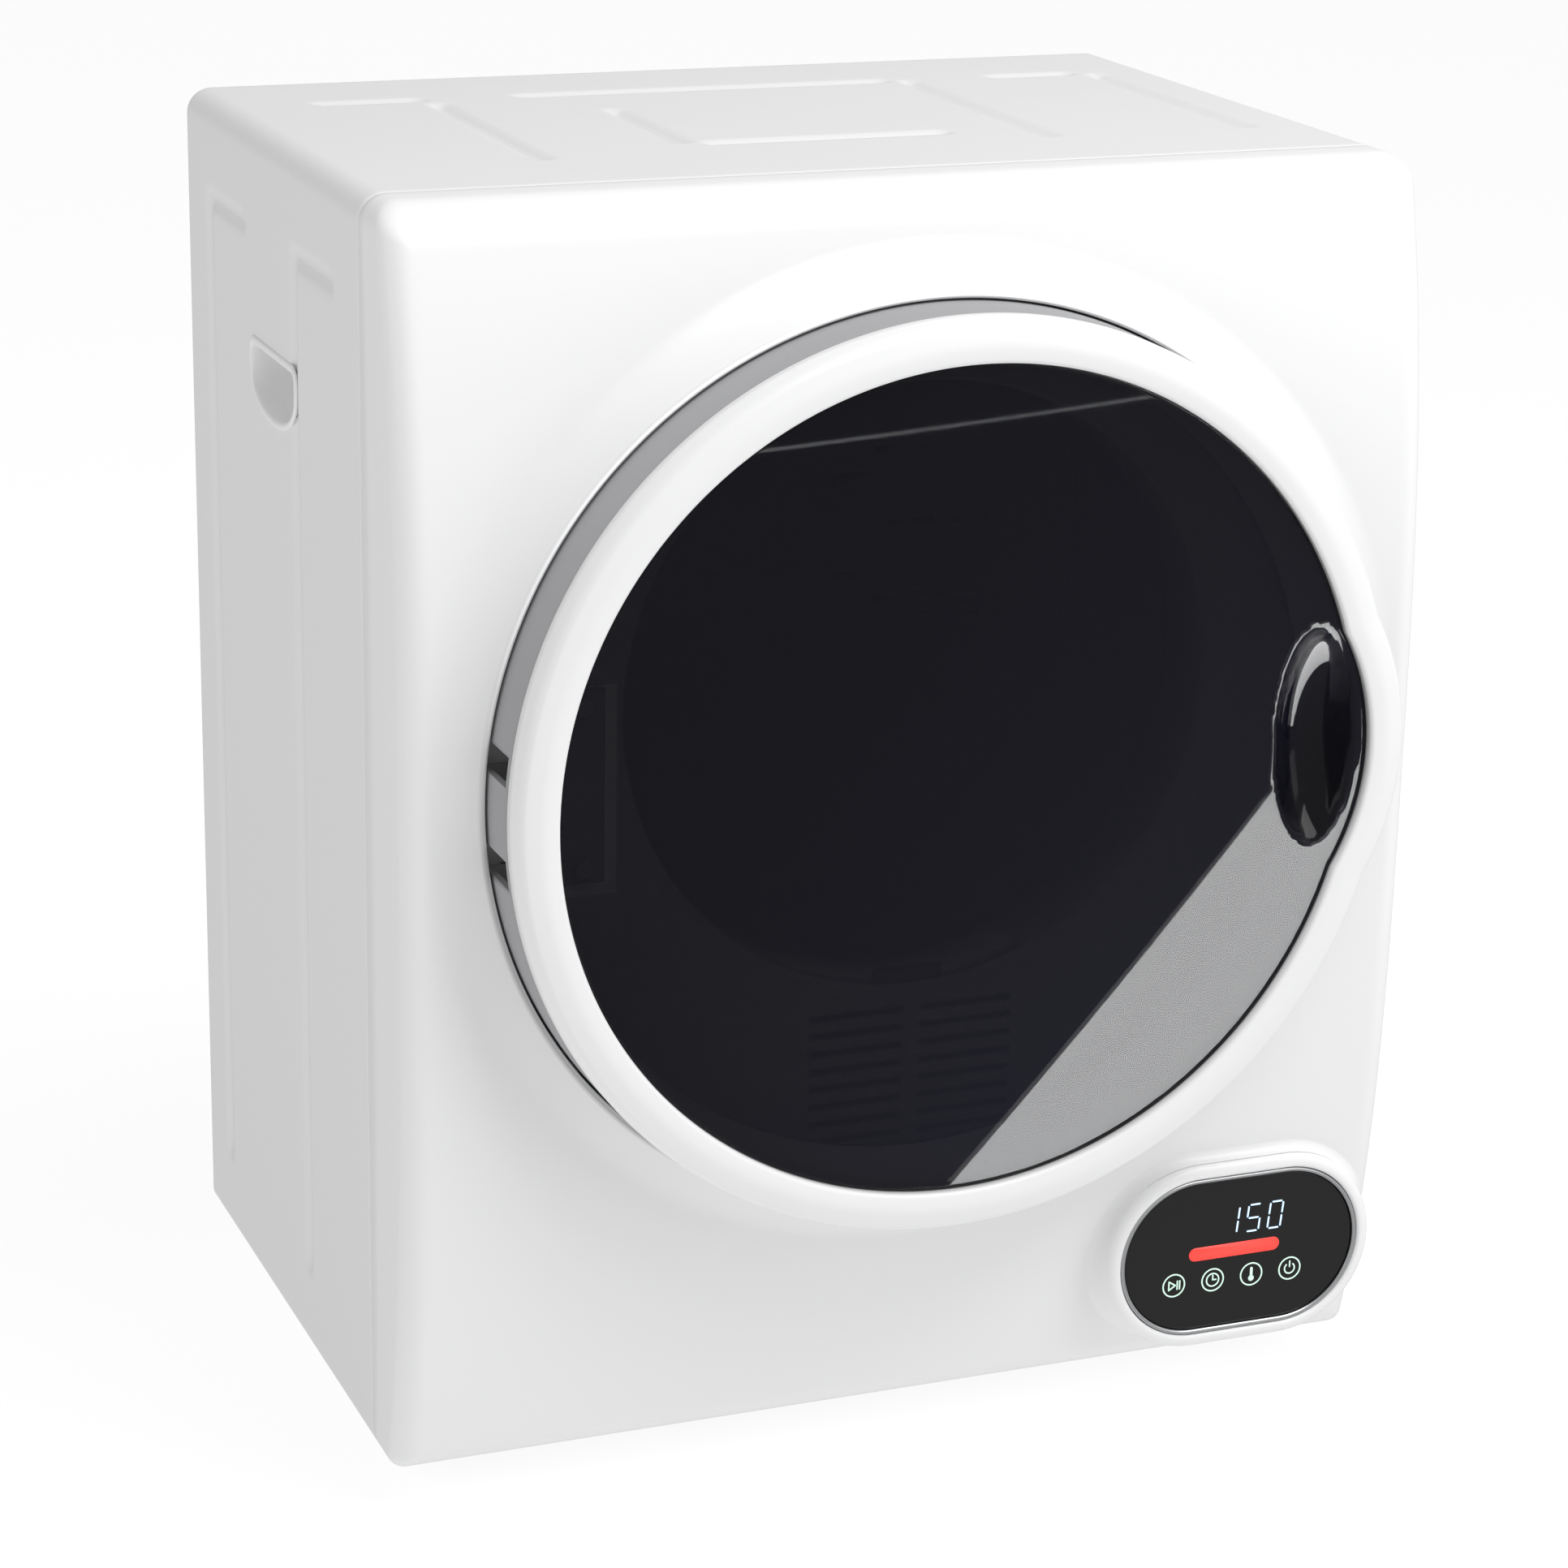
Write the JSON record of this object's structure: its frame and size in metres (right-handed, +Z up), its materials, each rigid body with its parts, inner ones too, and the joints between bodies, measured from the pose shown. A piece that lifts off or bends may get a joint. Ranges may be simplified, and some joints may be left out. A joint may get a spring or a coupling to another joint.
{
  "type": "clothes dryer",
  "caption": "Compact vented clothes dryer with a round smoked door, a belt-driven drum, a blower, a heater and a touch control pod.",
  "frame": {"origin": "on the floor under the middle of the machine's overall box", "axes": "+Z up; the door faces -Y; +X to the right seen from the front"},
  "size_m": [0.49, 0.405, 0.6],
  "materials": {
    "white_steel": "white enamel",
    "white_plastic": "satin white",
    "grey_plastic": "moulded grey",
    "black_plastic": "moulded black",
    "smoked_plastic": "smoked",
    "clear_plastic": "clear",
    "black_glass": "polished black",
    "steel": "brushed",
    "zinc_steel": "galvanised",
    "aluminium": "satin",
    "black_rubber": "matt",
    "grey_felt": "felt",
    "copper_brown": "phenolic",
    "green_board": "solder resist",
    "bronze": "sintered"
  },
  "bodies": {
    "cabinet": {"cabinet_wrap": "white_steel", "back_panel": "zinc_steel", "base_pan": "zinc_steel", "foot_back_left": "black_rubber", "foot_back_right": "black_rubber", "foot_front_left": "black_rubber", "foot_front_right": "black_rubber", "front_panel": "white_plastic", "door_surround": "white_plastic", "drum_mouth_sleeve": "white_plastic", "handle_cup_left": "white_plastic", "handle_cup_right": "white_plastic", "drum_front_seal": "grey_felt", "rear_bearing_bracket": "zinc_steel", "rear_bearing": "bronze", "motor_housing": "zinc_steel", "motor_bracket": "zinc_steel", "motor_capacitor": "black_plastic", "drive_belt": "black_rubber", "blower_housing": "grey_plastic", "front_duct": "grey_plastic", "exhaust_duct": "aluminium", "exhaust_collar": "white_plastic", "heater_housing": "zinc_steel", "heater_element": "aluminium", "thermal_cutout": "copper_brown", "cord_gland": "black_plastic", "latch_receiver": "grey_plastic", "door_switch_body": "black_plastic", "hinge_bracket": "zinc_steel", "hinge_screw_lower": "steel", "hinge_screw_upper": "steel", "control_trim_ring": "aluminium", "control_glass": "black_glass", "control_board": "green_board", "idler_post": "zinc_steel", "idler_spring": "steel"},
    "door": {"door_front_ring": "white_plastic", "door_window": "smoked_plastic", "door_back_shell": "white_plastic", "door_inner_window": "clear_plastic", "door_gasket": "black_rubber", "door_hinge_block": "zinc_steel", "hinge_pin": "steel", "latch_hook": "grey_plastic"},
    "drum": {"drum_shell": "steel", "drum_front_end": "steel", "drum_back": "steel", "drum_baffle_1": "white_plastic", "drum_baffle_2": "white_plastic", "drum_baffle_3": "white_plastic", "drum_shaft": "zinc_steel"},
    "motor_rotor": {"motor_shaft": "steel", "drive_pulley": "aluminium", "blower_wheel": "black_plastic"},
    "idler_arm": {"idler_arm": "zinc_steel"},
    "idler_pulley": {"idler_pulley": "black_plastic"},
    "lint_filter": {"lint_filter_frame": "grey_plastic", "lint_filter_screen": "steel"},
    "door_switch_plunger": {"door_switch_plunger": "white_plastic"}
  },
  "joints": [
    {"name": "door_hinge", "type": "hinge", "parent": "cabinet", "child": "door", "pos_m": [-0.199, -0.1775, 0.345], "axis": [0, 0, -1], "range_deg": [0, 120]},
    {"name": "drum_spin", "type": "hinge", "parent": "cabinet", "child": "drum", "pos_m": [0, 0.0205, 0.374], "axis": [0, 1, 0], "continuous": true},
    {"name": "rotor_spin", "type": "hinge", "parent": "cabinet", "child": "motor_rotor", "pos_m": [0.118, 0.0025, 0.097], "axis": [0, 1, 0], "continuous": true},
    {"name": "idler_swing", "type": "hinge", "parent": "cabinet", "child": "idler_arm", "pos_m": [0.064, 0.0135, 0.044], "axis": [0, -1, 0], "range_deg": [0, 8], "stiffness_Nm_per_rad": 0.5, "springref_deg": -11.46, "deforming": ["idler_spring"]},
    {"name": "idler_spin", "type": "hinge", "parent": "idler_arm", "child": "idler_pulley", "pos_m": [0.03523, 0.0025, 0.10678], "axis": [0, 1, 0], "continuous": true},
    {"name": "filter_lift", "type": "slide", "parent": "cabinet", "child": "lint_filter", "axis": [0, 0, 1], "range_m": [0, 0.07]},
    {"name": "door_switch_travel", "type": "slide", "parent": "cabinet", "child": "door_switch_plunger", "axis": [0, -1, 0], "range_m": [0, 0.004]}
  ],
  "couplings": [
    {"joint": "rotor_spin", "follows": "drum_spin", "ratio": 18.636},
    {"joint": "idler_spin", "follows": "drum_spin", "ratio": -13.667},
    {"joint": "door_switch_travel", "follows": "door_hinge", "m_per_rad": 0.0019}
  ]
}
